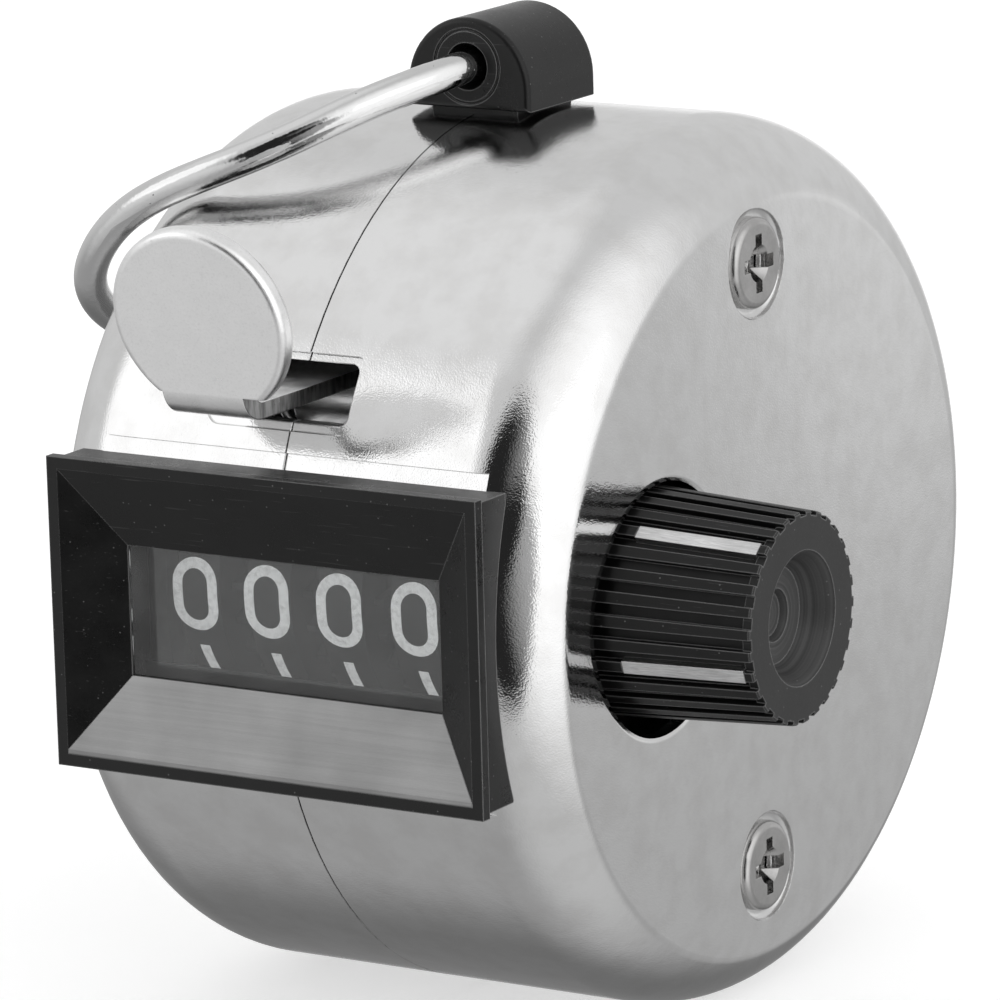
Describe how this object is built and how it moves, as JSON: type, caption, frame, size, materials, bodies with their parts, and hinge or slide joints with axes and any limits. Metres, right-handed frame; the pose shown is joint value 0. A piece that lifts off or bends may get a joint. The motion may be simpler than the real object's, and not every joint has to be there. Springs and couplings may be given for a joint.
{
  "type": "hand tally counter",
  "caption": "Drum-shaped chromed hand tally counter with number wheels behind a framed window, a thumb lever, a fluted reset knob and a folding wire finger ring.",
  "frame": {"origin": "centre of the drum-shaped case, on the seam between its two shells", "axes": "+X along the drum axis towards the reset knob, -Y towards the number window, +Z towards the finger ring's holder"},
  "size_m": [0.0439, 0.0503, 0.0498],
  "materials": {
    "chrome_case": "bright chrome plate",
    "plated_screw": "nickel plate, slightly dull",
    "turned_steel": "turned",
    "inner_steel": "stamped, satin",
    "satin_steel": "satin plate",
    "black_plastic": "semi-gloss moulded",
    "knob_plastic": "matt moulded",
    "wheel_plastic": "matt black with white digits",
    "bright_foil": "brushed bright",
    "clear_lens": "clear",
    "brass": "machined",
    "spring_wire": "drawn wire"
  },
  "bodies": {
    "case_and_frame": {"left_case_shell": "chrome_case", "right_case_shell": "chrome_case", "case_screws": "plated_screw", "screw_posts": "turned_steel", "window_bezel": "black_plastic", "bezel_trim_strip": "bright_foil", "window_lens": "clear_lens", "ring_holder": "black_plastic", "left_frame_plate": "inner_steel", "right_frame_plate": "inner_steel", "frame_tie_rods": "turned_steel", "left_shaft_bush": "brass", "right_shaft_bush": "brass", "lever_pivot_pin": "turned_steel", "lever_return_spring": "spring_wire", "carrier_pivot_pin": "turned_steel", "carrier_spring": "spring_wire"},
    "lever": {"thumb_lever": "satin_steel", "verge_anchor": "inner_steel", "verge_rivets": "turned_steel"},
    "units": {"units_wheel": "wheel_plastic", "units_reset_pawl": "inner_steel", "star_wheel": "brass"},
    "tens": {"tens_wheel": "wheel_plastic", "tens_reset_pawl": "inner_steel"},
    "hundreds": {"hundreds_wheel": "wheel_plastic", "hundreds_reset_pawl": "inner_steel"},
    "thousands": {"thousands_wheel": "wheel_plastic", "thousands_reset_pawl": "inner_steel"},
    "carrier": {"pinion_carrier": "inner_steel", "pinion_shaft": "turned_steel"},
    "tens_carry": {"tens_pinion": "brass"},
    "hundreds_carry": {"hundreds_pinion": "brass"},
    "thousands_carry": {"thousands_pinion": "brass"},
    "knob": {"reset_shaft": "turned_steel", "reset_knob": "knob_plastic", "knob_spines": "bright_foil", "reset_cam": "inner_steel", "shaft_clips": "inner_steel"},
    "ring": {"finger_ring": "chrome_case"}
  },
  "joints": [
    {"name": "lever_press", "type": "hinge", "parent": "case_and_frame", "child": "lever", "pos_m": [0, -0.013, 0.0096], "axis": [-1, 0, 0], "range_deg": [0, 9]},
    {"name": "ring_swing", "type": "hinge", "parent": "case_and_frame", "child": "ring", "pos_m": [0, 0, 0.02485], "axis": [0, 1, 0], "range_deg": [0, 130]},
    {"name": "reset_knob_turn", "type": "hinge", "parent": "case_and_frame", "child": "knob", "pos_m": [0, -0.0122, 0.0009], "axis": [1, 0, 0], "continuous": true},
    {"name": "units_wheel_turn", "type": "hinge", "parent": "case_and_frame", "child": "units", "pos_m": [0, -0.0122, 0.0009], "axis": [1, 0, 0], "continuous": true},
    {"name": "tens_wheel_turn", "type": "hinge", "parent": "case_and_frame", "child": "tens", "pos_m": [0, -0.0122, 0.0009], "axis": [1, 0, 0], "continuous": true},
    {"name": "hundreds_wheel_turn", "type": "hinge", "parent": "case_and_frame", "child": "hundreds", "pos_m": [0, -0.0122, 0.0009], "axis": [1, 0, 0], "continuous": true},
    {"name": "thousands_wheel_turn", "type": "hinge", "parent": "case_and_frame", "child": "thousands", "pos_m": [0, -0.0122, 0.0009], "axis": [1, 0, 0], "continuous": true},
    {"name": "carrier_swing", "type": "hinge", "parent": "case_and_frame", "child": "carrier", "pos_m": [0, -0.0018, 0.0004], "axis": [1, 0, 0], "range_deg": [0, 12]},
    {"name": "tens_pinion_turn", "type": "hinge", "parent": "carrier", "child": "tens_carry", "pos_m": [0, -0.00675, -0.00455], "axis": [1, 0, 0], "continuous": true},
    {"name": "hundreds_pinion_turn", "type": "hinge", "parent": "carrier", "child": "hundreds_carry", "pos_m": [0, -0.00675, -0.00455], "axis": [1, 0, 0], "continuous": true},
    {"name": "thousands_pinion_turn", "type": "hinge", "parent": "carrier", "child": "thousands_carry", "pos_m": [0, -0.00675, -0.00455], "axis": [1, 0, 0], "continuous": true}
  ],
  "couplings": [
    {"joint": "tens_wheel_turn", "follows": "units_wheel_turn", "ratio": 0.1},
    {"joint": "hundreds_wheel_turn", "follows": "units_wheel_turn", "ratio": 0.01},
    {"joint": "thousands_wheel_turn", "follows": "units_wheel_turn", "ratio": 0.001},
    {"joint": "tens_pinion_turn", "follows": "units_wheel_turn", "ratio": -0.25},
    {"joint": "hundreds_pinion_turn", "follows": "units_wheel_turn", "ratio": -0.025},
    {"joint": "thousands_pinion_turn", "follows": "units_wheel_turn", "ratio": -0.0025}
  ]
}
